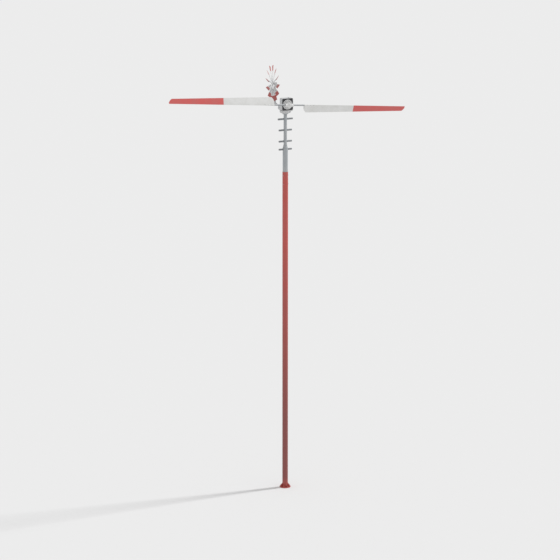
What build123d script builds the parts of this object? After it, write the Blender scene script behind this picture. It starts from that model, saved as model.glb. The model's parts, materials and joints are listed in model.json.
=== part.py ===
"""Small two-blade wind turbine on a tubular mast, with a side wheel (fantail) that turns it into the wind.

Frame: millimetres, +Z up, origin at the centre of the base flange's underside.
The rotor faces -Y, the tail points to +Y, and the yaw axis is the Z axis.
"""

import os
from math import acos, atan2, cos, degrees, pi, radians, sin, sqrt, tan

from build123d import *

os.makedirs("parts", exist_ok=True)

# ---------------------------------------------------------------- driving dimensions
LOWER_RADIUS = 152.0 / 2
MAST_RADIUS = 139.7 / 2  # upper tube, a close fit inside the lower one
MAST_WALL = 6.0
TUBE_OVERLAP = 420.0
PAINT_JOINT_Z = 8861.0  # top of the red tube, foot of the grey one
SHOULDER_Z = 9510.0
NECK_RADIUS = 88.9 / 2
NECK_WALL = 8.0
NECK_FOOT_Z = 9590.0
NECK_TOP_Z = 10440.0
RUNG_HEIGHTS = (9476.0, 9694.0, 9998.0, 10300.0)
RUNG_LENGTHS = (376.0, 376.0, 376.0, 430.0)  # the blades sweep past the rung ends at any heading
RUNG_RADIUS = 48.3 / 2

FLANGE_RADIUS = 150.0
FLANGE_THICKNESS = 20.0
BASE_BOLTS = 8
BASE_BOLT_CIRCLE = 242.0
BASE_HOLE_RADIUS = 9.0

AXIS_Z = 10714.0  # main shaft
CASE_HALF_WIDTH = 162.5
CASE_HALF_HEIGHT = 166.0
CASE_CORNER = 36.0
CASE_FRONT_Y = -146.0
CASE_WALL = 6.0

ROTOR_Y = -250.0  # plane of the blade axes
ROTOR_LEAN = 4.8  # degrees the +X blade lies below the horizontal at rest
BLADE_ROOT = 440.0
BLADE_TIP = 3480.0

BOOM_Z = 10600.0
FAN_X = -76.0  # plane of the side wheel
FAN_Y = 645.0
FAN_Z = 11172.0
FAN_RADIUS = 490.0
FAN_BLADES = 12
FAN_TOE = 5.5  # degrees the side wheel is turned about its post, tail end to the right

PRESSURE_ANGLE = radians(20)
BACKLASH_SHARE = 0.09  # part of the tooth thickness left free
ADDENDUM = 0.85
DEDENDUM = 1.2

GEAR_MODULE = 3.0
MAIN_TEETH, GENERATOR_TEETH = 84, 21
GENERATOR_BEARING = radians(232)  # direction from main shaft to generator shaft, seen from the front
YAW_MODULE = 2.5
RING_TEETH, YAW_TEETH = 84, 14
BEVEL_MODULE = 1.75
BEVEL_PINION, BEVEL_GEAR, MITER_TEETH = 14, 28, 20
PITCH_MODULE = 2.5
PITCH_TEETH = 14

SHAFT_RADIUS = 25.0
GENERATOR_RADIUS = 54.0
YAW_HOUSING_RADIUS = 150.0
YAW_HOUSING_FOOT_Z = 10462.0
YAW_SHAFT_Y = YAW_MODULE * (RING_TEETH + YAW_TEETH) / 2
CASE_FLOOR_Z = AXIS_Z - CASE_HALF_HEIGHT


def save(part, name):
    """Label a finished piece and write its STEP file."""
    part.label = name
    export_step(part, f"parts/{name}.step")


# ---------------------------------------------------------------- gears
def involute_flank(module, teeth):
    """(radius, half angle) pairs up one flank of an involute tooth, from root to tip."""
    pitch = module * teeth / 2
    base = pitch * cos(PRESSURE_ANGLE)
    root = pitch - DEDENDUM * module
    tip = pitch + ADDENDUM * module
    at_pitch = pi / (2 * teeth) * (1 - BACKLASH_SHARE) + tan(PRESSURE_ANGLE) - PRESSURE_ANGLE
    flank = []
    for radius in (root, (root + pitch) / 2, pitch, (pitch + tip) / 2, tip):
        roll = acos(min(1.0, base / radius))
        flank.append((radius, at_pitch - (tan(roll) - roll)))
    return flank


def gear_outline(module, teeth, turned=0.0):
    """Closed spur gear outline, with a tooth centred on the local X axis when turned is 0."""
    flank = involute_flank(module, teeth)
    points = []
    for tooth in range(teeth):
        centre = 2 * pi * tooth / teeth + turned
        points += [(r * cos(centre - a), r * sin(centre - a)) for r, a in flank]
        points += [(r * cos(centre + a), r * sin(centre + a)) for r, a in reversed(flank)]
    return points


def spur_gear(plane, module, teeth, width, bore, turned=0.0):
    """Spur gear that starts on the plane and rises along its normal."""
    with BuildPart() as gear:
        with BuildSketch(plane):
            with BuildLine():
                Polyline(*gear_outline(module, teeth, turned), close=True)
            make_face()
            Circle(bore, mode=Mode.SUBTRACT)
        extrude(amount=width)
    return gear.part


def bevel_gear(plane, teeth, mate_teeth, width, bore, hub_radius, hub_length, turned=0.0):
    """Straight bevel gear: the plane's origin is the common apex, and the gear lies along its normal."""
    module = BEVEL_MODULE
    cone = atan2(teeth, mate_teeth)
    pitch = module * teeth / 2
    outer = pitch / sin(cone)
    inner = outer - width
    virtual = module * teeth / cos(cone) / 2

    def axial(distance, height):
        """(radial, along the axis) of a point at a cone distance and a height above the pitch cone."""
        return (distance * sin(cone) + height * cos(cone), distance * cos(cone) - height * sin(cone))

    root_out = axial(outer, -DEDENDUM * module)
    root_in = axial(inner, -DEDENDUM * module * inner / outer)
    back = root_out[1] + module
    profile = [
        (bore, root_in[1]),
        root_in,
        root_out,
        (root_out[0], back),
        (hub_radius, back),
        (hub_radius, back + hub_length),
        (bore, back + hub_length),
    ]
    flank = [
        (r * sin(a), r * cos(a) - virtual) for r, a in involute_flank(module, teeth / cos(cone))
    ]
    flank[0] = (flank[0][0], flank[0][1] - 0.3 * module)
    outline = [(-x, y) for x, y in flank] + flank[::-1]
    with BuildPart() as tooth:
        for distance in (inner, outer):
            seat = Plane(
                origin=(distance * sin(cone), 0, distance * cos(cone)),
                x_dir=(0, -1, 0),
                z_dir=(sin(cone), 0, cos(cone)),
            )
            scaled = [(x * distance / outer, y * distance / outer) for x, y in outline]
            with BuildSketch(seat):
                with BuildLine():
                    Polyline(*scaled, close=True)
                make_face()
        loft(ruled=True)
    with BuildPart() as gear:
        with BuildSketch(Plane.XZ):
            with BuildLine():
                Polyline(*profile, close=True)
            make_face()
        revolve(axis=Axis.Z)
        for number in range(teeth):
            add(tooth.part.rotate(Axis.Z, 360 * number / teeth + degrees(turned)))
    return plane.location * gear.part



# ---------------------------------------------------------------- shapes used again and again
UPWARD = (Align.CENTER, Align.CENTER, Align.MIN)


def rise(plane, height, outer, inner=0.0, mode=Mode.ADD):
    """Round solid or tube that rises from the plane along its normal, in the open BuildPart."""
    with BuildSketch(plane) as outline:
        Circle(outer)
        if inner:
            Circle(inner, mode=Mode.SUBTRACT)
    extrude(outline.sketch, amount=height, mode=mode)


def block(low, high, mode=Mode.ADD):
    """Rectangular solid between two opposite corners, in the open BuildPart."""
    size = [b - a for a, b in zip(low, high)]
    with Locations(tuple((a + b) / 2 for a, b in zip(low, high))):
        Box(*size, mode=mode)


def facing(x, y, z, normal, x_dir=None):
    """Plane through a point, looking along the normal."""
    return Plane(origin=(x, y, z), x_dir=x_dir, z_dir=normal)


def level(z, x=0.0, y=0.0):
    """Horizontal plane at a height, with its origin above or below the given point."""
    return Plane(origin=(x, y, z), x_dir=(1, 0, 0), z_dir=(0, 0, 1))


# ---------------------------------------------------------------- mast: base
with BuildPart() as base_flange:
    rise(level(0), FLANGE_THICKNESS, FLANGE_RADIUS, MAST_RADIUS)
    with BuildSketch(level(0)):
        with PolarLocations(BASE_BOLT_CIRCLE / 2, BASE_BOLTS, start_angle=22.5):
            Circle(BASE_HOLE_RADIUS)
    extrude(amount=FLANGE_THICKNESS, mode=Mode.SUBTRACT)
    chamfer(base_flange.edges().filter_by(GeomType.CIRCLE).group_by(Axis.Z)[-1].sort_by(SortBy.RADIUS)[-1], 3)
save(base_flange.part, "base_flange")

with BuildPart() as base_gussets:
    for number in range(BASE_BOLTS):
        with BuildSketch(Plane.XZ.rotated((0, 0, 45 * number))):
            with BuildLine():
                Polyline(
                    (LOWER_RADIUS - 4, FLANGE_THICKNESS),
                    (FLANGE_RADIUS - 8, FLANGE_THICKNESS),
                    (FLANGE_RADIUS - 8, FLANGE_THICKNESS + 12),
                    (LOWER_RADIUS + 8, 100),
                    (LOWER_RADIUS - 4, 100),
                    close=True,
                )
            make_face()
        extrude(amount=5, both=True)
    rise(level(0), 200, LOWER_RADIUS, mode=Mode.SUBTRACT)
save(base_gussets.part, "base_gussets")

# ---------------------------------------------------------------- mast: tubes
BOLT_LEVELS = (PAINT_JOINT_Z - 330, PAINT_JOINT_Z - 90)
BOLT_TURNS = (0, 120, 240)


def joint_bolt_planes():
    """Planes on the mast axis, looking outwards along each bolt of the tube joint."""
    planes = []
    for height in BOLT_LEVELS:
        for turn in BOLT_TURNS:
            outward = (sin(radians(turn)), cos(radians(turn)), 0)
            planes.append(Plane(origin=(0, 0, height), x_dir=(0, 0, 1), z_dir=outward))
    return planes


with BuildPart() as lower_mast:
    rise(level(FLANGE_THICKNESS), PAINT_JOINT_Z - FLANGE_THICKNESS, LOWER_RADIUS, MAST_RADIUS)
    for plane in joint_bolt_planes():
        rise(plane, 100, 6, mode=Mode.SUBTRACT)
save(lower_mast.part, "lower_mast")

with BuildPart() as upper_mast:
    length = SHOULDER_Z - PAINT_JOINT_Z + TUBE_OVERLAP
    rise(level(PAINT_JOINT_Z - TUBE_OVERLAP), length, MAST_RADIUS, MAST_RADIUS - MAST_WALL)
    for plane in joint_bolt_planes():
        rise(plane, 100, 6, mode=Mode.SUBTRACT)
save(upper_mast.part, "upper_mast")

with BuildPart() as joint_bolts:
    for plane in joint_bolt_planes():
        rise(plane.offset(MAST_RADIUS - MAST_WALL - 4), LOWER_RADIUS - MAST_RADIUS + MAST_WALL + 6, 6)
        with BuildSketch(plane.offset(LOWER_RADIUS)):
            RegularPolygon(10, 6)
        extrude(amount=8)
save(joint_bolts.part, "joint_bolts")

with BuildPart() as mast_reducer:
    with BuildSketch(Plane.XZ):
        with BuildLine():
            Polyline(
                (MAST_RADIUS - MAST_WALL, SHOULDER_Z),
                (MAST_RADIUS, SHOULDER_Z),
                (NECK_RADIUS + 6, NECK_FOOT_Z - 12),
                (NECK_RADIUS + 6, NECK_FOOT_Z),
                (NECK_RADIUS, NECK_FOOT_Z),
                (NECK_RADIUS, NECK_FOOT_Z - 40),
                (NECK_RADIUS - NECK_WALL, NECK_FOOT_Z - 40),
                (NECK_RADIUS - NECK_WALL, NECK_FOOT_Z - 52),
                close=True,
            )
        make_face()
    revolve(axis=Axis.Z)
save(mast_reducer.part, "mast_reducer")

with BuildPart() as neck_tube:
    rise(level(NECK_FOOT_Z - 40), NECK_TOP_Z - NECK_FOOT_Z + 40, NECK_RADIUS, NECK_RADIUS - NECK_WALL)
save(neck_tube.part, "neck_tube")

with BuildPart() as step_rungs:
    for height, length in zip(RUNG_HEIGHTS, RUNG_LENGTHS):
        with Locations((0, 0, height)):
            Cylinder(RUNG_RADIUS, length, rotation=(0, 90, 0))
    fillet(step_rungs.edges().filter_by(GeomType.CIRCLE), 3)
    rise(level(NECK_FOOT_Z), 900, NECK_RADIUS, mode=Mode.SUBTRACT)
    rise(level(SHOULDER_Z - 100), 100, MAST_RADIUS, mode=Mode.SUBTRACT)
save(step_rungs.part, "step_rungs")

# ---------------------------------------------------------------- mast: head and slewing bearing, fixed half
BALL_CIRCLE = 80.0
BALL_RADIUS = 5.0
BALLS = 30
BALL_Z = 10474.0
GEAR_FOOT_Z = 10490.0

with BuildPart() as mast_head:
    rise(level(NECK_TOP_Z - 18), 22, 51, NECK_RADIUS)
    rise(level(NECK_TOP_Z), 20, 78, NECK_RADIUS - NECK_WALL)
    chamfer(mast_head.edges().filter_by(GeomType.CIRCLE).group_by(Axis.Z)[0].sort_by(SortBy.RADIUS)[-1], 3)
save(mast_head.part, "mast_head")

with BuildPart() as slewing_inner_ring:
    rise(level(NECK_TOP_Z + 20), GEAR_FOOT_Z - NECK_TOP_Z - 20, BALL_CIRCLE - 1, 58)
    with Locations(level(BALL_Z)):
        Torus(BALL_CIRCLE, BALL_RADIUS, mode=Mode.SUBTRACT)
save(slewing_inner_ring.part, "slewing_inner_ring")

with BuildPart() as slewing_balls:
    with Locations(level(BALL_Z)):
        with PolarLocations(BALL_CIRCLE, BALLS):
            Sphere(BALL_RADIUS)
save(slewing_balls.part, "slewing_balls")

yaw_gear = spur_gear(level(GEAR_FOOT_Z), YAW_MODULE, RING_TEETH, 18, 66)
save(yaw_gear, "yaw_gear")

# ---------------------------------------------------------------- nacelle: yaw housing and bedplate
SHAFT_BORE = 8.05
SKIRT_TOP_Z = 10524.0
BED_TOP_Z = CASE_FLOOR_Z
FLOOR_RADIUS = 100.0

with BuildPart() as slewing_outer_ring:
    rise(level(BALL_Z - 10), 20, FLOOR_RADIUS, BALL_CIRCLE + 1)
    with Locations(level(BALL_Z)):
        Torus(BALL_CIRCLE, BALL_RADIUS + 0.1, mode=Mode.SUBTRACT)
save(slewing_outer_ring.part, "slewing_outer_ring")

with BuildPart() as yaw_housing:
    with BuildSketch(Plane.XZ):
        with BuildLine():
            Polyline(
                (FLOOR_RADIUS, YAW_HOUSING_FOOT_Z + 2),
                (FLOOR_RADIUS + 18, YAW_HOUSING_FOOT_Z + 4),
                (YAW_HOUSING_RADIUS - 10, YAW_HOUSING_FOOT_Z + 12),
                (YAW_HOUSING_RADIUS, YAW_HOUSING_FOOT_Z + 26),
                (YAW_HOUSING_RADIUS, SKIRT_TOP_Z),
                (YAW_HOUSING_RADIUS - 5, SKIRT_TOP_Z),
                (YAW_HOUSING_RADIUS - 5, YAW_HOUSING_FOOT_Z + 24),
                (YAW_HOUSING_RADIUS - 16, YAW_HOUSING_FOOT_Z + 18),
                (FLOOR_RADIUS, YAW_HOUSING_FOOT_Z + 12),
                close=True,
            )
        make_face()
    revolve(axis=Axis.Z)
    rise(level(YAW_HOUSING_FOOT_Z, y=YAW_SHAFT_Y), 20, SHAFT_BORE, mode=Mode.SUBTRACT)
save(yaw_housing.part, "yaw_housing")

with BuildPart() as bedplate:
    rise(level(SKIRT_TOP_Z), 8, YAW_HOUSING_RADIUS)
    with BuildSketch(level(SKIRT_TOP_Z + 8)):
        with Locations((0, -73)):
            RectangleRounded(310, 146, 20)
        with Locations((0, 60)):
            RectangleRounded(84, 240, 10)
    extrude(amount=BED_TOP_Z - SKIRT_TOP_Z - 8)
    rise(level(SKIRT_TOP_Z, y=YAW_SHAFT_Y), 60, SHAFT_BORE, mode=Mode.SUBTRACT)
save(bedplate.part, "bedplate")

# ---------------------------------------------------------------- nacelle: gear case
FRONT = (0, -1, 0)
GENERATOR_SPAN = GEAR_MODULE * (MAIN_TEETH + GENERATOR_TEETH) / 2
GENERATOR_X = GENERATOR_SPAN * cos(GENERATOR_BEARING)
GENERATOR_Z = AXIS_Z + GENERATOR_SPAN * sin(GENERATOR_BEARING)
CASE_DEPTH = -6.0 - CASE_FRONT_Y
SCREW_X = CASE_HALF_WIDTH - 17
SCREW_Z = CASE_HALF_HEIGHT - 17
CASE_SCREWS = [(-SCREW_X, SCREW_Z), (SCREW_X, SCREW_Z), (SCREW_X, 0), (SCREW_X, -SCREW_Z)]
CASE_SCREWS += [(-20, -SCREW_Z), (-SCREW_X, 20)]


def on_axis(y, normal=FRONT):
    """Plane square to the main shaft at a station along it."""
    return Plane(origin=(0, y, AXIS_Z), x_dir=(1, 0, 0), z_dir=normal)


with BuildPart() as gear_case:
    with BuildSketch(on_axis(-6)):
        RectangleRounded(2 * CASE_HALF_WIDTH, 2 * CASE_HALF_HEIGHT, CASE_CORNER)
        RectangleRounded(
            2 * (CASE_HALF_WIDTH - CASE_WALL),
            2 * (CASE_HALF_HEIGHT - CASE_WALL),
            CASE_CORNER - CASE_WALL,
            mode=Mode.SUBTRACT,
        )
    extrude(amount=CASE_DEPTH)
    fillet(gear_case.edges().group_by(Axis.Y)[0], 2)
save(gear_case.part, "gear_case")

with BuildPart() as front_plate:
    with BuildSketch(on_axis(CASE_FRONT_Y + 24)):
        RectangleRounded(
            2 * (CASE_HALF_WIDTH - CASE_WALL),
            2 * (CASE_HALF_HEIGHT - CASE_WALL),
            CASE_CORNER - CASE_WALL,
        )
        Circle(45, mode=Mode.SUBTRACT)
    extrude(amount=10)
save(front_plate.part, "front_plate")

COVER_FACE_Y = CASE_FRONT_Y + 14  # front of the dark plate
COVER_RADIUS = 132.0
with BuildPart() as gear_cover:
    rise(on_axis(COVER_FACE_Y), 12, COVER_RADIUS, 47)
    rise(on_axis(COVER_FACE_Y), 24, COVER_RADIUS, COVER_RADIUS - 18)
    rise(on_axis(COVER_FACE_Y), 26, 58, 47)
    with BuildSketch(on_axis(COVER_FACE_Y - 12)):
        with PolarLocations(86, 16):
            Rectangle(58, 6)
    extrude(amount=9)
    fillet(gear_cover.edges().filter_by(GeomType.CIRCLE).sort_by(SortBy.RADIUS)[-1], 4)
save(gear_cover.part, "gear_cover")

with BuildPart() as gear_cover_bolts:
    with Locations(on_axis(COVER_FACE_Y - 24)):
        with PolarLocations(COVER_RADIUS - 9, 16, start_angle=11.25):
            Cylinder(6, 5, align=UPWARD)
save(gear_cover_bolts.part, "gear_cover_bolts")

with BuildPart() as rear_plate:
    with BuildSketch(on_axis(0)):
        RectangleRounded(2 * CASE_HALF_WIDTH, 2 * CASE_HALF_HEIGHT, CASE_CORNER)
        Circle(45, mode=Mode.SUBTRACT)
        with Locations((GENERATOR_X, GENERATOR_Z - AXIS_Z)):
            Circle(20, mode=Mode.SUBTRACT)
    extrude(amount=6)
    with BuildSketch(on_axis(0)):
        with Locations(*CASE_SCREWS):
            Circle(4)
    extrude(amount=6, mode=Mode.SUBTRACT)
save(rear_plate.part, "rear_plate")

with BuildPart() as main_bearings:
    rise(on_axis(CASE_FRONT_Y + 24), 22, 45, SHAFT_RADIUS + 0.05)
    rise(on_axis(0), 22, 45, SHAFT_RADIUS + 0.05)
save(main_bearings.part, "main_bearings")

with BuildPart() as rear_bearing_cap:
    rise(on_axis(0, (0, 1, 0)), 14, 60)
    rise(on_axis(0, (0, 1, 0)), 6, 40, mode=Mode.SUBTRACT)
    fillet(rear_bearing_cap.edges().group_by(Axis.Y)[-1], 4)
save(rear_bearing_cap.part, "rear_bearing_cap")

with BuildPart() as case_screws:
    for x, z in CASE_SCREWS:
        with Locations(facing(x, 0, AXIS_Z + z, (0, 1, 0))):
            Cylinder(7, 6, align=UPWARD)
            Cylinder(4, 6, align=(Align.CENTER, Align.CENTER, Align.MAX))
save(case_screws.part, "case_screws")

# ---------------------------------------------------------------- nacelle: generator
GENERATOR_LENGTH = 140.0
GENERATOR_SHAFT = 12.0


def on_generator(y, normal=(0, 1, 0)):
    """Plane square to the generator shaft at a station along it."""
    return Plane(origin=(GENERATOR_X, y, GENERATOR_Z), x_dir=(1, 0, 0), z_dir=normal)


with BuildPart() as generator_flange:
    rise(on_generator(0), 10, GENERATOR_RADIUS, GENERATOR_SHAFT + 0.05)
    rise(on_generator(10), 14, 24, GENERATOR_SHAFT + 0.05)
save(generator_flange.part, "generator_flange")

with BuildPart() as generator_body:
    rise(on_generator(10), GENERATOR_LENGTH - 10, GENERATOR_RADIUS - 3, GENERATOR_RADIUS - 7)
    for number in range(24):
        angle = radians(15 * number)
        radial = (cos(angle), 0, sin(angle))
        inner = GENERATOR_RADIUS - 5
        seat = Plane(
            origin=(GENERATOR_X + inner * cos(angle), 75, GENERATOR_Z + inner * sin(angle)),
            x_dir=(0, 1, 0),
            z_dir=radial,
        )
        with Locations(seat):
            Box(112, 3, 5, align=UPWARD)
save(generator_body.part, "generator_body")

with BuildPart() as generator_stator:
    rise(on_generator(34), 84, GENERATOR_RADIUS - 7, 36)
save(generator_stator.part, "generator_stator")

with BuildPart() as generator_end_cover:
    rise(on_generator(GENERATOR_LENGTH), 8, GENERATOR_RADIUS)
    rise(on_generator(GENERATOR_LENGTH - 16), 16, 24)
    rise(on_generator(GENERATOR_LENGTH - 16), 18, GENERATOR_SHAFT + 0.05, mode=Mode.SUBTRACT)
    fillet(generator_end_cover.edges().group_by(Axis.Y)[-1], 3)
save(generator_end_cover.part, "generator_end_cover")

with BuildPart() as generator_shaft:
    rise(on_generator(-100), GENERATOR_LENGTH + 98, GENERATOR_SHAFT)
    rise(on_generator(38), 76, 35.5)
save(generator_shaft.part, "generator_shaft")

GEAR_WIDTH = 24.0
generator_pinion = spur_gear(
    on_generator(-76, FRONT),
    GEAR_MODULE,
    GENERATOR_TEETH,
    GEAR_WIDTH,
    GENERATOR_SHAFT,
    GENERATOR_BEARING - pi + pi / GENERATOR_TEETH,
)
save(generator_pinion, "generator_pinion")

# ---------------------------------------------------------------- nacelle: yaw drive box and tail frame
DRIVE_BACK_Y = 178.0
BOOM_RADIUS = 48.3 / 2
POST_RADIUS = 42.4 / 2
TUBE_WALL = 4.0
ELBOW_HALF = 38.0
FAN_BOX_FOOT_Z = FAN_Z - 42

def toed(part):
    """The part turned about the post with the rest of the side wheel unit."""
    return part.rotate(Axis((0, FAN_Y, 0), (0, 0, 1)), -FAN_TOE)


with BuildPart() as drive_box:
    block((-40, 88, BED_TOP_Z), (40, DRIVE_BACK_Y, BOOM_Z + 44))
    block((-34, 94, BED_TOP_Z), (34, DRIVE_BACK_Y - 8, BOOM_Z + 44), mode=Mode.SUBTRACT)
    rise(facing(0, DRIVE_BACK_Y - 8, BOOM_Z, (0, 1, 0)), 8, SHAFT_BORE, mode=Mode.SUBTRACT)
    fillet(drive_box.edges().filter_by(Axis.Z).group_by(Axis.X)[0], 4)
    fillet(drive_box.edges().filter_by(Axis.Z).group_by(Axis.X)[-1], 4)
save(drive_box.part, "drive_box")

with BuildPart() as drive_box_lid:
    block((-44, 84, BOOM_Z + 44), (44, DRIVE_BACK_Y + 4, BOOM_Z + 50))
save(drive_box_lid.part, "drive_box_lid")

with BuildPart() as tail_boom:
    start = facing(0, DRIVE_BACK_Y, BOOM_Z, (0, 1, 0))
    rise(start, FAN_Y - ELBOW_HALF - DRIVE_BACK_Y, BOOM_RADIUS, BOOM_RADIUS - TUBE_WALL)
    rise(start, 8, BOOM_RADIUS + 14, BOOM_RADIUS - TUBE_WALL)
save(tail_boom.part, "tail_boom")

with BuildPart() as tail_elbow:
    block(
        (-ELBOW_HALF, FAN_Y - ELBOW_HALF, BOOM_Z - ELBOW_HALF),
        (ELBOW_HALF, FAN_Y + ELBOW_HALF, BOOM_Z + ELBOW_HALF),
    )
    fillet(tail_elbow.edges().filter_by(Axis.X), 10)
    block((-30, FAN_Y - 30, BOOM_Z - 30), (ELBOW_HALF, FAN_Y + 30, BOOM_Z + 30), mode=Mode.SUBTRACT)
    rise(facing(0, FAN_Y - ELBOW_HALF, BOOM_Z, (0, 1, 0)), 20, SHAFT_BORE, mode=Mode.SUBTRACT)
    rise(level(BOOM_Z + 20, y=FAN_Y), 30, SHAFT_BORE, mode=Mode.SUBTRACT)
save(tail_elbow.part, "tail_elbow")

with BuildPart() as tail_post:
    length = FAN_BOX_FOOT_Z - BOOM_Z - ELBOW_HALF
    rise(level(BOOM_Z + ELBOW_HALF, y=FAN_Y), length, POST_RADIUS, POST_RADIUS - TUBE_WALL)
save(tail_post.part, "tail_post")

with BuildPart() as fantail_gearbox:
    block((-42, FAN_Y - 34, FAN_BOX_FOOT_Z), (38, FAN_Y + 34, FAN_Z + 24))
    fillet(fantail_gearbox.edges().filter_by(Axis.X), 10)
    block((-36, FAN_Y - 29, FAN_BOX_FOOT_Z + 8), (38, FAN_Y + 29, FAN_Z + 18), mode=Mode.SUBTRACT)
    rise(level(FAN_BOX_FOOT_Z, y=FAN_Y), 10, SHAFT_BORE, mode=Mode.SUBTRACT)
    rise(facing(-44, FAN_Y, FAN_Z, (1, 0, 0)), 10, SHAFT_BORE, mode=Mode.SUBTRACT)
save(toed(fantail_gearbox.part), "fantail_gearbox")

with BuildPart() as upper_lid:
    block((ELBOW_HALF, FAN_Y - 32, FAN_Z - 40), (ELBOW_HALF + 5, FAN_Y + 32, FAN_Z + 22))
    fillet(upper_lid.edges().filter_by(Axis.X), 8)

with BuildPart() as gearbox_lids:
    block((ELBOW_HALF, FAN_Y - 34, BOOM_Z - 34), (ELBOW_HALF + 5, FAN_Y + 34, BOOM_Z + 34))
    fillet(gearbox_lids.edges().filter_by(Axis.X), 8)
    add(toed(upper_lid.part))
save(gearbox_lids.part, "gearbox_lids")

# ---------------------------------------------------------------- yaw drive train
SLIM = 5.0  # shaft radius under the small bevel pinions
TOOTH_WIDTH = 9.0
PINION_REACH = BEVEL_MODULE * BEVEL_GEAR / 2  # apex to pinion pitch circle
DOWN = (0, 0, -1)
BACK = (0, 1, 0)
LEFT = (-1, 0, 0)

yaw_spur = spur_gear(level(GEAR_FOOT_Z - 2, y=YAW_SHAFT_Y), YAW_MODULE, YAW_TEETH, 22, 5)
with BuildPart() as yaw_pinion_shaft:
    rise(level(BALL_Z - 6, y=YAW_SHAFT_Y), BOOM_Z - 14 - BALL_Z + 6, 8)
    add(yaw_spur)
save(yaw_pinion_shaft.part, "yaw_pinion_shaft")

yaw_bevel = bevel_gear(
    facing(0, YAW_SHAFT_Y, BOOM_Z, DOWN, BACK), BEVEL_GEAR, BEVEL_PINION, TOOTH_WIDTH, 8, 14, 6
)
save(yaw_bevel, "yaw_bevel")

boom_pinion = bevel_gear(
    facing(0, YAW_SHAFT_Y, BOOM_Z, BACK, DOWN),
    BEVEL_PINION,
    BEVEL_GEAR,
    TOOTH_WIDTH,
    SLIM,
    9,
    5,
    pi / BEVEL_PINION,
)
boom_miter = bevel_gear(
    facing(0, FAN_Y, BOOM_Z, FRONT, (0, 0, 1)), MITER_TEETH, MITER_TEETH, TOOTH_WIDTH, 8, 12, 4
)
with BuildPart() as boom_bevels:
    add(boom_pinion)
    add(boom_miter)
save(boom_bevels.part, "boom_bevels")

BOOM_SHAFT_START = YAW_SHAFT_Y + PINION_REACH - 8
with BuildPart() as boom_shaft:
    rise(facing(0, BOOM_SHAFT_START, BOOM_Z, BACK), 30, SLIM)
    start = YAW_SHAFT_Y + PINION_REACH + 9
    rise(facing(0, start, BOOM_Z, BACK), FAN_Y - 14 - start, 8)
save(boom_shaft.part, "boom_shaft")

post_miter = bevel_gear(
    facing(0, FAN_Y, BOOM_Z, (0, 0, 1), FRONT),
    MITER_TEETH,
    MITER_TEETH,
    TOOTH_WIDTH,
    8,
    12,
    4,
    pi / MITER_TEETH,
)
post_gear = bevel_gear(
    facing(0, FAN_Y, FAN_Z, DOWN, LEFT), BEVEL_GEAR, BEVEL_PINION, TOOTH_WIDTH, 8, 14, 6
)
with BuildPart() as post_bevels:
    add(post_miter)
    add(toed(post_gear))
save(post_bevels.part, "post_bevels")

with BuildPart() as post_shaft:
    rise(level(BOOM_Z + 14, y=FAN_Y), FAN_Z - BOOM_Z - 14 - 12, 8)
save(post_shaft.part, "post_shaft")

# ---------------------------------------------------------------- side wheel
FAN_HUB_RADIUS = 36.0
FAN_SHAFT_END = FAN_X - 34
FAN_PITCH = radians(35)
FAN_PHASE = 1.5
FAN_BLADE_ROOT = 150.0

fan_pinion = bevel_gear(
    facing(0, FAN_Y, FAN_Z, LEFT, DOWN), BEVEL_PINION, BEVEL_GEAR, TOOTH_WIDTH, SLIM, 9, 4, pi / BEVEL_PINION
)
with BuildPart() as fantail_shaft:
    add(fan_pinion)
    rise(facing(-PINION_REACH + 8, FAN_Y, FAN_Z, LEFT), 30, SLIM)
    rise(facing(-PINION_REACH - 8.5, FAN_Y, FAN_Z, LEFT), -FAN_SHAFT_END - PINION_REACH - 8.5, 8)
save(toed(fantail_shaft.part), "fantail_shaft")


def fan_plane(number):
    """Plane of one fan blade: x along the blade, y along its chord, origin on the wheel axis."""
    turn = radians(FAN_PHASE + 30 * number)
    radial = Vector(0, cos(turn), sin(turn))
    around = Vector(0, -sin(turn), cos(turn))
    chord = around * cos(FAN_PITCH) - Vector(1, 0, 0) * sin(FAN_PITCH)
    return Plane(origin=(FAN_X, FAN_Y, FAN_Z), x_dir=radial, z_dir=radial.cross(chord))


with BuildPart() as fantail_blades:
    for number in range(FAN_BLADES):
        with BuildSketch(fan_plane(number).offset(4.5)):
            with BuildLine():
                Polyline(
                    (FAN_BLADE_ROOT, -24),
                    (FAN_RADIUS - 4, -62),
                    (FAN_RADIUS, 0),
                    (FAN_RADIUS - 4, 62),
                    (FAN_BLADE_ROOT, 24),
                    close=True,
                )
            make_face()
        extrude(amount=2)
save(toed(fantail_blades.part), "fantail_blades")

with BuildPart() as fantail_spokes:
    for number in range(FAN_BLADES):
        plane = fan_plane(number)
        start = plane.from_local_coords((26, 0, 0))
        with Locations(Plane(origin=start, z_dir=plane.x_dir)):
            Cylinder(4, 330 - 26, align=UPWARD)
save(toed(fantail_spokes.part), "fantail_spokes")

with BuildPart() as fantail_hub:
    rise(facing(FAN_X + 14, FAN_Y, FAN_Z, LEFT), 28, FAN_HUB_RADIUS, 8)
    rise(facing(FAN_X - 14, FAN_Y, FAN_Z, LEFT), 10, 18, 8)
    add(fantail_spokes.part, mode=Mode.SUBTRACT)
save(toed(fantail_hub.part), "fantail_hub")

# ---------------------------------------------------------------- rotor: shaft, gear and hub
HUB_RADIUS = 62.0
BEAM_RADIUS = 40.0
CAVITY_RADIUS = 54.0
HUB_BACK = -50.0  # stations along the shaft, forward of the blade axes
HUB_FRONT = 50.0
SPAR_RADIUS = 42.4 / 2
SOCKET_END = 118.0
COLLAR_INNER = 46.0
ROTOR = Plane(
    origin=(0, ROTOR_Y, AXIS_Z), x_dir=(cos(radians(ROTOR_LEAN)), 0, -sin(radians(ROTOR_LEAN))), z_dir=FRONT
)


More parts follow.
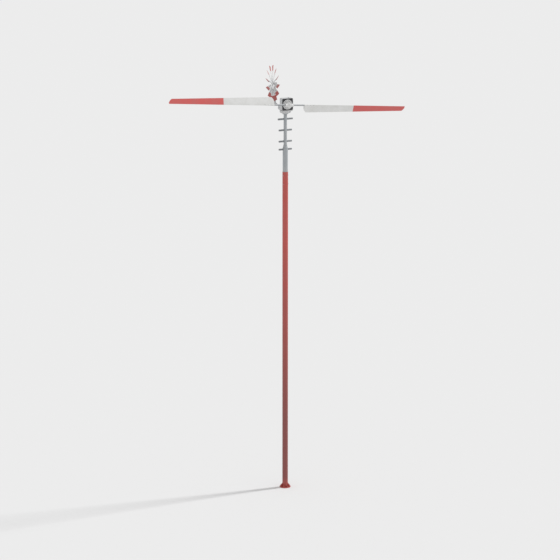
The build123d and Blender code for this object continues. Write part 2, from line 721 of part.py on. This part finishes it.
def along_blade(side, reach):
    """Plane square to the blade axis at a distance from the shaft; its x points up the leading edge side."""
    outward = ROTOR.x_dir * side
    origin = ROTOR.from_local_coords((side * reach, 0, 0))
    return Plane(origin=origin, x_dir=ROTOR.y_dir * side, z_dir=outward)


with BuildPart() as main_shaft:
    rise(ROTOR.offset(HUB_BACK), ROTOR_Y - HUB_BACK + 4, SHAFT_RADIUS)
    rise(ROTOR.offset(HUB_BACK), -12, 62)
    with BuildSketch(ROTOR.offset(HUB_BACK)):
        with PolarLocations(48, 8):
            Circle(5)
    extrude(amount=-12, mode=Mode.SUBTRACT)
save(main_shaft.part, "main_shaft")

wheel = spur_gear(on_axis(-76), GEAR_MODULE, MAIN_TEETH, GEAR_WIDTH, SHAFT_RADIUS, GENERATOR_BEARING)
with BuildPart() as main_gear:
    add(wheel)
    with BuildSketch(on_axis(-76)):
        with PolarLocations(78, 6, start_angle=15):
            Circle(26)
    extrude(amount=GEAR_WIDTH, mode=Mode.SUBTRACT)
save(main_gear.part, "main_gear")

with BuildPart() as rotor_hub:
    rise(along_blade(1, -SOCKET_END), 2 * SOCKET_END, BEAM_RADIUS)
    for side in (-1, 1):
        rise(along_blade(side, SOCKET_END - 9), 9, BEAM_RADIUS + 7)
    rise(ROTOR.offset(HUB_BACK), HUB_FRONT - HUB_BACK, HUB_RADIUS)
    rise(ROTOR.offset(HUB_BACK + 12), HUB_FRONT - HUB_BACK, CAVITY_RADIUS, mode=Mode.SUBTRACT)
    for side in (-1, 1):
        rise(along_blade(side, 30), 30, 32, mode=Mode.SUBTRACT)
        rise(along_blade(side, 30), 100, SPAR_RADIUS + 0.05, mode=Mode.SUBTRACT)
save(rotor_hub.part, "rotor_hub")

COVER_THICKNESS = 8.0
BOSS_RADIUS = 17.0
with BuildPart() as hub_cover:
    rise(ROTOR.offset(HUB_FRONT), COVER_THICKNESS, HUB_RADIUS, BOSS_RADIUS + 1)
    fillet(hub_cover.edges().filter_by(GeomType.CIRCLE).group_by(Axis.Y)[0].sort_by(SortBy.RADIUS)[-1], 4)
save(hub_cover.part, "hub_cover")

NOSE_TOP = 112.0
NOSE_RADIUS = 34.0
with BuildPart() as nose_cap:
    rise(ROTOR.offset(HUB_FRONT + COVER_THICKNESS), NOSE_TOP - HUB_FRONT - COVER_THICKNESS, NOSE_RADIUS)
    fillet(nose_cap.edges().group_by(Axis.Y)[0], 10)
    seat = HUB_FRONT + COVER_THICKNESS
    rise(ROTOR.offset(seat), NOSE_TOP - seat - 6, NOSE_RADIUS - 5, mode=Mode.SUBTRACT)
save(nose_cap.part, "nose_cap")

# ---------------------------------------------------------------- rotor: pitch control
GUIDE_RADIUS = 9.0
YOKE_Z = 22.0
BOSS_END = 60.0
RACK_Y = PITCH_MODULE * PITCH_TEETH / 2
PINION_NEAR = 24.0
PINION_FAR = 40.0
SPRING_END = NOSE_TOP - 6

with BuildPart() as guide_pin:
    rise(ROTOR.offset(HUB_BACK + 12), SPRING_END - HUB_BACK - 12, GUIDE_RADIUS)
    rise(ROTOR.offset(HUB_BACK + 12), 8, 24)
save(guide_pin.part, "guide_pin")


def rack_outline(side):
    """Rack profile in the (up, forward) plane: teeth towards the shaft, a gap facing the pinion."""
    pitch = pi * PITCH_MODULE
    root = RACK_Y + DEDENDUM * PITCH_MODULE
    tip = RACK_Y - ADDENDUM * PITCH_MODULE
    half = pitch / 4 * (1 - BACKLASH_SHARE)
    points = [(root + 10, -4 * pitch), (root, -4 * pitch)]
    for tooth in range(-4, 3):
        centre = (tooth + 0.5) * pitch
        at_root = half + (root - RACK_Y) * tan(PRESSURE_ANGLE)
        at_tip = half - (RACK_Y - tip) * tan(PRESSURE_ANGLE)
        points += [(root, centre - at_root), (tip, centre - at_tip)]
        points += [(tip, centre + at_tip), (root, centre + at_root)]
    points += [(root, YOKE_Z), (root + 10, YOKE_Z)]
    return [(up * side, forward) for up, forward in points]


with BuildPart() as crosshead:
    with BuildSketch(ROTOR.offset(YOKE_Z)):
        RectangleRounded(84, 63, 3)
        Circle(GUIDE_RADIUS + 0.05, mode=Mode.SUBTRACT)
    extrude(amount=5)
    rise(ROTOR.offset(YOKE_Z), BOSS_END - YOKE_Z, BOSS_RADIUS, GUIDE_RADIUS + 0.05)
    for side in (-1, 1):
        start = ROTOR.from_local_coords((side * PINION_NEAR, 0, 0))
        seat = Plane(origin=start, x_dir=ROTOR.y_dir, z_dir=ROTOR.x_dir * side)
        with BuildSketch(seat):
            with BuildLine():
                Polyline(*[(up, forward * side) for up, forward in rack_outline(side)], close=True)
            make_face()
        extrude(amount=PINION_FAR - PINION_NEAR)
save(crosshead.part, "crosshead")

with BuildPart() as governor_spring:
    turns = Helix(pitch=9, height=SPRING_END - BOSS_END - 5, radius=23)
    with BuildSketch(Plane(origin=turns @ 0, z_dir=turns % 0)):
        Circle(2)
    sweep(path=turns, is_frenet=True)
spring_seat = ROTOR.offset(BOSS_END + 2.5)
save(spring_seat.location * governor_spring.part, "governor_spring")

# ---------------------------------------------------------------- blades
SPAR_STEP = 446.0
SPAR_INNER = 12.5
SPAR_TIP = 780.0


def chord_at(reach):
    """Blade width at a distance from the shaft."""
    return 228 - 98 * (reach - BLADE_ROOT) / (BLADE_TIP - BLADE_ROOT)


def section_points(reach):
    """Blade section as (towards leading edge, towards the back) points, from the trailing edge."""
    share = (reach - BLADE_ROOT) / (BLADE_TIP - BLADE_ROOT)
    chord = chord_at(reach)
    thick = 0.21 - 0.08 * share
    lead = 21 - 18 * share
    pitch = radians(17 - 4 * share)

    def half(x):
        """Half thickness of the section at a share of the chord."""
        return 5 * thick * (0.2969 * sqrt(x) - 0.126 * x - 0.3516 * x**2 + 0.2843 * x**3 - 0.1036 * x**4)

    lift = 0.85 * half(lead / chord) * chord
    points = []
    for step in range(-10, 11):
        x = (step / 10) ** 2
        side = 1 if step < 0 else -1
        back = (0.85 + side) * half(x) * chord + side * x - lift
        ahead = lead - x * chord
        points.append((ahead * cos(pitch) + back * sin(pitch), ahead * sin(pitch) - back * cos(pitch)))
    return points


def blade(side):
    """Solid laminated blade of one side, bored for its spar, with a rounded heel and a raked tip."""
    with BuildPart() as wing:
        for reach in (BLADE_ROOT - 10, 900, 1700, 2600, BLADE_TIP + 10):
            outline = section_points(reach)
            with BuildSketch(along_blade(side, reach)):
                with BuildLine():
                    Spline(*outline)
                    Line(outline[-1], outline[0])
                make_face()
        loft()
        with BuildSketch(along_blade(side, BLADE_ROOT - 8)):
            Circle(23.5)
        with BuildSketch(along_blade(side, 900)):
            Circle(15)
        loft()
        top = Plane(origin=ROTOR.origin, x_dir=ROTOR.x_dir * side, z_dir=FRONT).offset(-200)
        with BuildSketch(top):
            with BuildLine():
                Polyline(
                    (BLADE_ROOT, 80),
                    (BLADE_TIP - 14, 80),
                    (BLADE_TIP - 6, -2),
                    (BLADE_TIP, -14),
                    (BLADE_TIP - 6, -40),
                    (BLADE_TIP - 32, -85),
                    (BLADE_TIP - 80, -130),
                    (BLADE_TIP - 80, -260),
                    (BLADE_ROOT + 120, -260),
                    (BLADE_ROOT + 70, -190),
                    (BLADE_ROOT + 30, -150),
                    (BLADE_ROOT + 8, -90),
                    close=True,
                )
            make_face()
        extrude(amount=400, mode=Mode.INTERSECT)
        rise(along_blade(side, BLADE_ROOT - 20), SPAR_STEP - BLADE_ROOT + 20, SPAR_RADIUS, mode=Mode.SUBTRACT)
        rise(along_blade(side, BLADE_ROOT), SPAR_TIP - BLADE_ROOT, SPAR_INNER, mode=Mode.SUBTRACT)
    return wing.part


def spar(side):
    """Stepped blade shaft: gear seat, journal in the hub, and the stub inside the blade."""
    with BuildPart() as rod:
        rise(along_blade(side, PINION_NEAR - 2), COLLAR_INNER - PINION_NEAR + 2, 10)
        rise(along_blade(side, COLLAR_INNER), SPAR_STEP - COLLAR_INNER, SPAR_RADIUS)
        rise(along_blade(side, COLLAR_INNER), 12, 30)
        rise(along_blade(side, SPAR_STEP), SPAR_TIP - SPAR_STEP, SPAR_INNER)
    return rod.part


for name, side in (("a", 1), ("b", -1)):
    save(blade(side), f"blade_{name}")
    save(spar(side), f"blade_shaft_{name}")
    near = along_blade(side, PINION_NEAR)
    gear = spur_gear(near, PITCH_MODULE, PITCH_TEETH, PINION_FAR - PINION_NEAR, 10, 0)
    save(gear, f"pitch_gear_{name}")
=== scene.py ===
"""Looks of the two-blade wind turbine: materials, small trim, floor, light and camera."""

import json
import math

import bmesh
import bpy
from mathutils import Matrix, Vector


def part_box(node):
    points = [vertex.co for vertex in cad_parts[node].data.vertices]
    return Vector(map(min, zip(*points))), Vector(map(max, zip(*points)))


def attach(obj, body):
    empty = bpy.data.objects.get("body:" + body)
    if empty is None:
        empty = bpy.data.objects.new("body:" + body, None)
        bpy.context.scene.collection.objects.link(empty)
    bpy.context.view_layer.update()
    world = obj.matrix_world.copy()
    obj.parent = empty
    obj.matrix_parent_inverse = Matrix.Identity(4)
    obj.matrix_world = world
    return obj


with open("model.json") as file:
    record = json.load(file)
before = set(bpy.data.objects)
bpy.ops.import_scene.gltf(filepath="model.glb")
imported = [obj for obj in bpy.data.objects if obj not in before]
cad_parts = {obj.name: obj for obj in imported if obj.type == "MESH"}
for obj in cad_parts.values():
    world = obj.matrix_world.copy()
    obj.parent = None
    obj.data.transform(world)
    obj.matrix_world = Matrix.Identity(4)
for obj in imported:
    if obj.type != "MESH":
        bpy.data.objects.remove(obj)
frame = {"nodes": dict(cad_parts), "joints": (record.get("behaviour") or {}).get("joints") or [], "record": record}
NODES = frame["nodes"]
JOINTS = {joint["name"]: joint for joint in frame["joints"]}


def write_size():
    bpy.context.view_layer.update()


write_size()

# ---------------------------------------------------------------- places
UP = Vector((0.0, 0.0, 1.0))
RIGHT = Vector((1.0, 0.0, 0.0))
FORWARD = Vector((0.0, -1.0, 0.0))
BACKWARD = Vector((0.0, 1.0, 0.0))
HUB = Vector(JOINTS["rotor_spin"]["pos_m"])
LEAN = math.radians(4.8)
ALONG = Vector((math.cos(LEAN), 0.0, -math.sin(LEAN)))  # towards the tip of blade_a
FAN = Vector(JOINTS["fantail_spin"]["pos_m"])
FAN_AXIS = Vector(JOINTS["fantail_spin"]["axis"])
FAN_FORWARD = UP.cross(-FAN_AXIS)
FAN_BLADES = 12
FAN_PHASE = math.radians(1.5)
FAN_PITCH = math.radians(35)
RED_FROM = 1.92  # distance from the hub at which the blades turn red
FAN_RED_FROM = 0.345
LOWER_MAST = 0.076
UPPER_MAST = 0.06985
NECK = 0.04445


# ---------------------------------------------------------------- shader helpers
class Shader:
    """A node material built up step by step."""

    def __init__(self, name, metallic=0.0, roughness=0.5):
        self.material = bpy.data.materials.new(name)
        self.material.use_nodes = True
        self.tree = self.material.node_tree
        self.bsdf = self.tree.nodes["Principled BSDF"]
        self.bsdf.inputs["Metallic"].default_value = metallic
        self.bsdf.inputs["Roughness"].default_value = roughness
        self.coords = self.node("ShaderNodeTexCoord")

    def node(self, kind, **values):
        """New node with its properties set."""
        made = self.tree.nodes.new(kind)
        for key, value in values.items():
            setattr(made, key, value)
        return made

    def link(self, source, target):
        """Connects two sockets."""
        self.tree.links.new(source, target)

    def noise(self, scale, detail=4.0, rough=0.55, stretch=(1.0, 1.0, 1.0)):
        """Noise value in object space, stretched along the axes."""
        mapping = self.node("ShaderNodeMapping")
        mapping.inputs["Scale"].default_value = stretch
        self.link(self.coords.outputs["Object"], mapping.inputs["Vector"])
        made = self.node("ShaderNodeTexNoise")
        made.inputs["Scale"].default_value = scale
        made.inputs["Detail"].default_value = detail
        made.inputs["Roughness"].default_value = rough
        self.link(mapping.outputs["Vector"], made.inputs["Vector"])
        return made.outputs["Fac"]

    def math(self, operation, first, second=None, clamp=False):
        """Math node on sockets or numbers."""
        made = self.node("ShaderNodeMath", operation=operation, use_clamp=clamp)
        for socket, value in zip(made.inputs, (first, second)):
            if value is None:
                continue
            if isinstance(value, (int, float)):
                socket.default_value = value
            else:
                self.link(value, socket)
        return made.outputs["Value"]

    def spread(self, value, low, high, to_low=0.0, to_high=1.0):
        """Value mapped from one range to another and held inside it."""
        made = self.node("ShaderNodeMapRange")
        made.inputs["From Min"].default_value = low
        made.inputs["From Max"].default_value = high
        made.inputs["To Min"].default_value = to_low
        made.inputs["To Max"].default_value = to_high
        self.link(value, made.inputs["Value"])
        return made.outputs["Result"]

    def mix(self, factor, first, second):
        """Colour mix of sockets or plain colours."""
        made = self.node("ShaderNodeMix", data_type="RGBA")
        self.link(factor, made.inputs["Factor"])
        for socket, value in ((made.inputs[6], first), (made.inputs[7], second)):
            if isinstance(value, tuple):
                socket.default_value = (*value, 1.0)
            else:
                self.link(value, socket)
        return made.outputs[2]

    def axis(self, name):
        """One object space coordinate."""
        made = self.node("ShaderNodeSeparateXYZ")
        self.link(self.coords.outputs["Object"], made.inputs["Vector"])
        return made.outputs[name]

    def along(self, origin, direction):
        """Distance along a direction from an origin, in object space."""
        shifted = self.node("ShaderNodeVectorMath", operation="SUBTRACT")
        self.link(self.coords.outputs["Object"], shifted.inputs[0])
        shifted.inputs[1].default_value = origin
        dotted = self.node("ShaderNodeVectorMath", operation="DOT_PRODUCT")
        self.link(shifted.outputs["Vector"], dotted.inputs[0])
        dotted.inputs[1].default_value = direction
        return dotted.outputs["Value"]

    def reach(self, origin):
        """Distance from an origin, in object space."""
        shifted = self.node("ShaderNodeVectorMath", operation="SUBTRACT")
        self.link(self.coords.outputs["Object"], shifted.inputs[0])
        shifted.inputs[1].default_value = origin
        length = self.node("ShaderNodeVectorMath", operation="LENGTH")
        self.link(shifted.outputs["Vector"], length.inputs[0])
        return length.outputs["Value"]

    def finish(self, color, roughness, height, strength, distance):
        """Links colour, roughness and bump, and returns the material."""
        self.link(color, self.bsdf.inputs["Base Color"])
        self.link(roughness, self.bsdf.inputs["Roughness"])
        bump = self.node("ShaderNodeBump")
        bump.inputs["Strength"].default_value = strength
        bump.inputs["Distance"].default_value = distance
        self.link(height, bump.inputs["Height"])
        self.link(bump.outputs["Normal"], self.bsdf.inputs["Normal"])
        return self.material


def weathered_paint(name, color, faded, dirt, grain=60.0, foot=None):
    """Brushed or sprayed paint that is faded in patches, streaked with dirt and slightly rough; with a foot colour
    it also gets painted shade, darker towards the bottom.
    """
    shader = Shader(name)
    patches = shader.spread(shader.noise(3.0, 5.0), 0.35, 0.7)
    base = shader.mix(patches, color, faded)
    streaks = shader.spread(shader.noise(9.0, 6.0, 0.6, (6.0, 6.0, 0.35)), 0.55, 0.8, 0.0, 0.55)
    base = shader.mix(streaks, base, dirt)
    # painted shade: below 7 m the colour is mixed more and more towards the foot colour, and this eases off again
    # in the lowest 0.3 m
    if foot:
        height = shader.axis("Z")
        painted_foot_shade = shader.spread(height, 2.0, 7.0, 0.78, 0.0)
        foot_shade_ease_at_ground = shader.spread(height, 0.03, 0.3, 0.25, 1.0)
        base = shader.mix(shader.math("MULTIPLY", painted_foot_shade, foot_shade_ease_at_ground), base, foot)
    fine = shader.noise(grain, 3.0)
    rough = shader.spread(shader.noise(14.0, 4.0), 0.3, 0.7, 0.42, 0.66)
    return shader.finish(base, rough, fine, 0.12, 0.002)


def bare_metal(name, color, worn, metallic=0.9, rough=(0.28, 0.5), stretch=(1.0, 1.0, 1.0)):
    """Machined or galvanised metal with tool marks and a mottled surface."""
    shader = Shader(name, metallic)
    mottle = shader.spread(shader.noise(22.0, 5.0), 0.35, 0.7)
    base = shader.mix(mottle, color, worn)
    marks = shader.noise(140.0, 2.0, 0.5, stretch)
    roughness = shader.spread(shader.noise(30.0, 4.0), 0.3, 0.7, *rough)
    return shader.finish(base, roughness, marks, 0.08, 0.001)


# base and faded colour of the inner and outer parts of the blades
WHITES = ((0.80, 0.80, 0.79), (0.72, 0.72, 0.70))
REDS = ((0.68, 0.115, 0.11), (0.62, 0.14, 0.13))
FAN_GREYS = ((0.72, 0.72, 0.72), (0.64, 0.64, 0.63))
FAN_REDS = ((0.46, 0.095, 0.085), (0.38, 0.11, 0.10))


def blade_paint(name, distance_from, red_from, inner=WHITES, outer=REDS):
    """Pale gloss paint with a red outer part and faint wood grain under it."""
    shader = Shader(name)
    distance = distance_from(shader)
    wobble = shader.spread(shader.noise(20.0, 2.0), 0.0, 1.0, -0.002, 0.002)
    is_red = shader.math("GREATER_THAN", shader.math("ADD", distance, wobble), red_from)
    pale = shader.mix(shader.spread(shader.noise(5.0, 5.0), 0.35, 0.7), *inner)
    red = shader.mix(shader.spread(shader.noise(6.0, 5.0), 0.35, 0.7), *outer)
    base = shader.mix(is_red, pale, red)
    insects = shader.spread(shader.noise(120.0, 2.0), 0.70, 0.74, 0.0, 0.35)
    base = shader.mix(insects, base, (0.35, 0.33, 0.30))
    grain = shader.noise(30.0, 4.0, 0.6, (0.6, 6.0, 6.0))
    rough = shader.spread(shader.noise(8.0, 4.0), 0.3, 0.7, 0.30, 0.5)
    return shader.finish(base, rough, grain, 0.06, 0.001)


MATERIALS = {
    # the foot colour of the red paint is painted shade on the lower mast
    "red_paint": weathered_paint(
        "red_paint", (0.54, 0.085, 0.072), (0.50, 0.10, 0.085), (0.24, 0.10, 0.09), foot=(0.20, 0.070, 0.064)
    ),
    "grey_paint": weathered_paint("grey_paint", (0.37, 0.395, 0.415), (0.43, 0.45, 0.46), (0.24, 0.24, 0.24)),
    "case_paint": weathered_paint("case_paint", (0.52, 0.53, 0.54), (0.60, 0.60, 0.60), (0.30, 0.29, 0.27)),
    "dark_plate": weathered_paint(
        "dark_plate", (0.035, 0.035, 0.04), (0.06, 0.06, 0.065), (0.10, 0.09, 0.08)
    ),
    "galvanised": bare_metal("galvanised", (0.42, 0.43, 0.44), (0.33, 0.34, 0.35), 0.7, (0.4, 0.6)),
    "machined": bare_metal("machined", (0.52, 0.52, 0.53), (0.42, 0.42, 0.43), 1.0, (0.22, 0.4)),
    "cast_hub": weathered_paint("cast_hub", (0.72, 0.72, 0.72), (0.80, 0.80, 0.79), (0.44, 0.43, 0.41), 90.0),
    "bronze": bare_metal("bronze", (0.55, 0.36, 0.16), (0.42, 0.27, 0.12), 1.0, (0.25, 0.45)),
    "alloy": bare_metal("alloy", (0.68, 0.69, 0.70), (0.60, 0.61, 0.62), 0.6, (0.4, 0.55)),
    "spring_steel": bare_metal("spring_steel", (0.25, 0.26, 0.28), (0.18, 0.18, 0.20), 1.0, (0.25, 0.4)),
}
OWN_FINISH = {
    "step_rungs": weathered_paint("rung_paint", (0.22, 0.235, 0.25), (0.28, 0.29, 0.30), (0.14, 0.14, 0.14)),
    "blade_a": blade_paint("blade_a", lambda s: s.along(HUB, ALONG), RED_FROM),
    "blade_b": blade_paint("blade_b", lambda s: s.along(HUB, -ALONG), RED_FROM),
    "fantail_blades": blade_paint("fan_blades", lambda s: s.reach(FAN), FAN_RED_FROM, FAN_GREYS, FAN_REDS),
}

for part in frame["record"]["subparts"]:
    name = part["node"]
    thing = NODES[name]
    thing.data.materials.clear()
    thing.data.materials.append(OWN_FINISH.get(name) or MATERIALS[part["material_slot"]])

# ---------------------------------------------------------------- small trim



def studs(name, places, radius, height, material, body, sides=6):
    """Heads or rivets as one piece: places is a list of (foot, direction) pairs."""
    mesh = bmesh.new()
    for foot, direction in places:
        turn = direction.to_track_quat("Z", "Y").to_matrix().to_4x4()
        turn.translation = foot + direction.normalized() * (height / 2 - 0.0003)
        bmesh.ops.create_cone(
            mesh,
            cap_ends=True,
            segments=sides,
            radius1=radius,
            radius2=radius * 0.9,
            depth=height,
            matrix=turn,
        )
    data = bpy.data.meshes.new(name)
    mesh.to_mesh(data)
    mesh.free()
    piece = bpy.data.objects.new(name, data)
    bpy.context.collection.objects.link(piece)
    data.materials.append(material)
    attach(piece, body)
    return piece


def bead(name, centre, direction, radius, thickness, material, body):
    """Weld bead or seal round a tube."""
    bpy.ops.mesh.primitive_torus_add(
        major_radius=radius,
        minor_radius=thickness,
        major_segments=64,
        minor_segments=10,
        location=centre,
        rotation=direction.to_track_quat("Z", "Y").to_euler(),
    )
    piece = bpy.context.object
    piece.name = name
    piece.data.materials.append(material)
    for face in piece.data.polygons:
        face.use_smooth = True
    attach(piece, body)
    return piece


def middle(node):
    """Centre of a CAD node's box."""
    low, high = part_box(node)
    return (Vector(low) + Vector(high)) / 2


def top_of(node):
    """Height of a CAD node's highest point."""
    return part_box(node)[1][2]


weld_red = weathered_paint("weld_red", (0.36, 0.08, 0.07), (0.30, 0.09, 0.08), (0.13, 0.09, 0.08), 200.0)
weld_grey = weathered_paint("weld_grey", (0.26, 0.28, 0.30), (0.31, 0.33, 0.34), (0.18, 0.18, 0.18), 200.0)

foot_top = top_of("base_flange")
bead("foot_weld", Vector((0, 0, foot_top + 0.002)), UP, LOWER_MAST + 0.001, 0.004, weld_red, "mast")
bead("joint_seal", Vector((0, 0, top_of("lower_mast"))), UP, UPPER_MAST + 0.002, 0.003, weld_red, "mast")
bead("shoulder_weld", Vector((0, 0, top_of("upper_mast"))), UP, UPPER_MAST, 0.0025, weld_grey, "mast")
bead("neck_weld", Vector((0, 0, top_of("mast_reducer"))), UP, NECK + 0.003, 0.004, weld_grey, "mast")

RUNG_HEIGHTS = (9.476, 9.694, 9.998, 10.300)
RUNG_WELD_RADIUS = 0.0265
for number, height in enumerate(RUNG_HEIGHTS):
    tube = UPPER_MAST if height < top_of("upper_mast") else NECK
    for letter, side in (("l", -1), ("r", 1)):
        root = Vector((side * (tube - 0.002), 0, height))
        name = f"rung_weld_{number}_{letter}"
        bead(name, root, RIGHT, RUNG_WELD_RADIUS, 0.004, weld_grey, "mast")


def ring_places(centre, direction, across, radius, count, start=0.0):
    """Evenly spaced places on a circle, all looking along the direction."""
    other = direction.cross(across)
    places = []
    for number in range(count):
        turn = start + 2 * math.pi * number / count
        spot = centre + across * radius * math.cos(turn) + other * radius * math.sin(turn)
        places.append((spot, direction))
    return places


boom_low, boom_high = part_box("tail_boom")
boom_z = (boom_low[2] + boom_high[2]) / 2
BOOM_FLANGE_THICKNESS = 0.008
BOOM_BOLT_CIRCLE_RADIUS = 0.031
GALVANISED = MATERIALS["galvanised"]
flange_face = Vector((0, boom_low[1] + BOOM_FLANGE_THICKNESS, boom_z))
boom_bolts = ring_places(flange_face, BACKWARD, RIGHT, BOOM_BOLT_CIRCLE_RADIUS, 6)
studs("boom_bolts", boom_bolts, 0.005, 0.005, GALVANISED, "nacelle")

lid_low, lid_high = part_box("drive_box_lid")
LID_MARGIN = 0.010
lid_places = []
for x in (lid_low[0] + LID_MARGIN, lid_high[0] - LID_MARGIN):
    for y in (lid_low[1] + LID_MARGIN, lid_high[1] - LID_MARGIN):
        lid_places.append((Vector((x, y, lid_high[2])), UP))
studs("lid_screws", lid_places, 0.005, 0.004, GALVANISED, "nacelle")

case_low, case_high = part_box("gear_case")
case_mid = middle("gear_case")
filler = Vector((case_mid.x + 0.06, case_mid.y + 0.02, case_high[2]))
glass = Vector((case_high[0], case_mid.y, case_mid.z - 0.05))
drain = Vector((case_high[0], case_mid.y, case_low[2] + 0.03))
studs("filler_plug", [(filler, UP)], 0.014, 0.014, GALVANISED, "nacelle")
studs("sight_glass", [(glass, RIGHT)], 0.018, 0.006, MATERIALS["alloy"], "nacelle", 32)
studs("drain_plug", [(drain, RIGHT)], 0.009, 0.008, GALVANISED, "nacelle")

ROOT_SCREW_REACHES = (0.52, 0.62, 0.72)
BLADE_FRONT = 0.0185  # from the blade axis to its front face near the root
for body, side in (("blade_a_root", 1), ("blade_b_root", -1)):
    places = []
    for reach in ROOT_SCREW_REACHES:
        places.append((HUB + ALONG * side * reach + FORWARD * BLADE_FRONT, FORWARD))
    studs(f"{body}_screws", places, 0.007, 0.006, GALVANISED, body, 16)

RIVET_REACHES = (0.18, 0.25, 0.31)
RIVET_HEIGHT = 0.0065  # blade face above the middle plane of its spoke
rivets = []
for number in range(FAN_BLADES):
    turn = FAN_PHASE + 2 * math.pi * number / FAN_BLADES
    radial = FAN_FORWARD * math.cos(turn) + UP * math.sin(turn)
    around = UP * math.cos(turn) - FAN_FORWARD * math.sin(turn)
    chord = around * math.cos(FAN_PITCH) + FAN_AXIS * math.sin(FAN_PITCH)
    normal = radial.cross(chord)
    for reach in RIVET_REACHES:
        rivets.append((FAN + radial * reach + normal * RIVET_HEIGHT, normal))
studs("fan_rivets", rivets, 0.004, 0.002, GALVANISED, "fantail", 12)

# ---------------------------------------------------------------- floor, light and camera
bpy.ops.mesh.primitive_plane_add(size=600)
floor = bpy.context.object
floor.name = "floor"
ground = Shader("floor", 0.0, 0.9)
ground.bsdf.inputs["Base Color"].default_value = (0.757, 0.757, 0.757, 1.0)
ground.bsdf.inputs["Specular IOR Level"].default_value = 0.0
floor.data.materials.append(ground.material)

world = bpy.data.worlds.new("studio")
bpy.context.scene.world = world
world.use_nodes = True
world.node_tree.nodes["Background"].inputs["Color"].default_value = (1.0, 1.0, 1.0, 1.0)
world.node_tree.nodes["Background"].inputs["Strength"].default_value = 0.66

sun_data = bpy.data.lights.new("key", "SUN")
sun_data.energy = 2.0
sun_data.angle = math.radians(7)
sun = bpy.data.objects.new("key", sun_data)
bpy.context.collection.objects.link(sun)
sun.rotation_euler = Vector((1.0, -0.04, 1.0)).to_track_quat("Z", "Y").to_euler()

TARGET = Vector((-0.128, 0.060, 5.868))
BACK = Vector((-0.411, -0.881, 0.2334)).normalized()
CAMERA_DISTANCE = 75.0
camera_data = bpy.data.cameras.new("camera")
camera_data.lens = 177.75
camera_data.sensor_width = 36.0
camera_data.clip_end = 1000.0
camera = bpy.data.objects.new("camera", camera_data)
bpy.context.collection.objects.link(camera)
camera.location = TARGET + BACK * CAMERA_DISTANCE
camera.rotation_euler = BACK.to_track_quat("Z", "Y").to_euler()
bpy.context.scene.camera = camera
bpy.context.scene.view_settings.view_transform = "Standard"

write_size()
